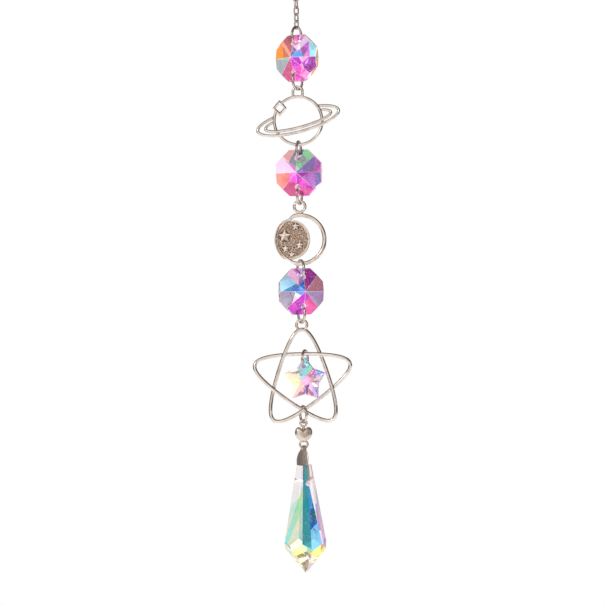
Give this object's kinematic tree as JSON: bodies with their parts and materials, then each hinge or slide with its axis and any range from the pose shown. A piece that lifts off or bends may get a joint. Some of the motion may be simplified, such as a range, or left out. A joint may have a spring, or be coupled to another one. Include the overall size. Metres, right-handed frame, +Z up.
{
  "type": "crystal suncatcher",
  "caption": "Hanging suncatcher: a fine chain carries faceted octagon beads, cast planet, moon and woven star charms, a crystal star, a heart and a long crystal drop.",
  "frame": {"origin": "top of the hanging ring's hole, where a hook carries the suncatcher", "axes": "+Z up along the string of pieces; the front faces -Y; +X to the viewer's right"},
  "size_m": [0.03, 0.0134, 0.194],
  "materials": {
    "silver": "bright plated wire and castings, slightly warm, with soft polish",
    "antique_silver": "darkened casting with bright worn edges",
    "aurora_crystal": "clear cut crystal with a rainbow coat: rose, violet, blue, green and amber facets"
  },
  "bodies": {
    "root": {"hanging_ring": "silver", "chain_link_01": "silver", "chain_link_02": "silver", "chain_link_03": "silver", "chain_link_04": "silver", "chain_link_05": "silver", "chain_link_06": "silver", "chain_link_07": "silver", "chain_link_08": "silver", "chain_link_09": "silver", "chain_link_10": "silver", "jump_ring_above_top_bead": "silver", "octagon_bead_top": "aurora_crystal", "jump_ring_below_top_bead": "silver", "planet_charm": "silver", "jump_ring_above_middle_bead": "silver", "octagon_bead_middle": "aurora_crystal", "jump_ring_below_middle_bead": "silver", "moon_charm": "antique_silver", "jump_ring_above_bottom_bead": "silver", "octagon_bead_bottom": "aurora_crystal", "jump_ring_below_bottom_bead": "silver", "star_frame": "silver", "jump_ring_above_crystal_star": "silver", "crystal_star": "aurora_crystal", "jump_ring_above_heart": "silver", "heart_link": "silver", "pinch_bail": "silver", "crystal_drop": "aurora_crystal"}
  },
  "joints": []
}
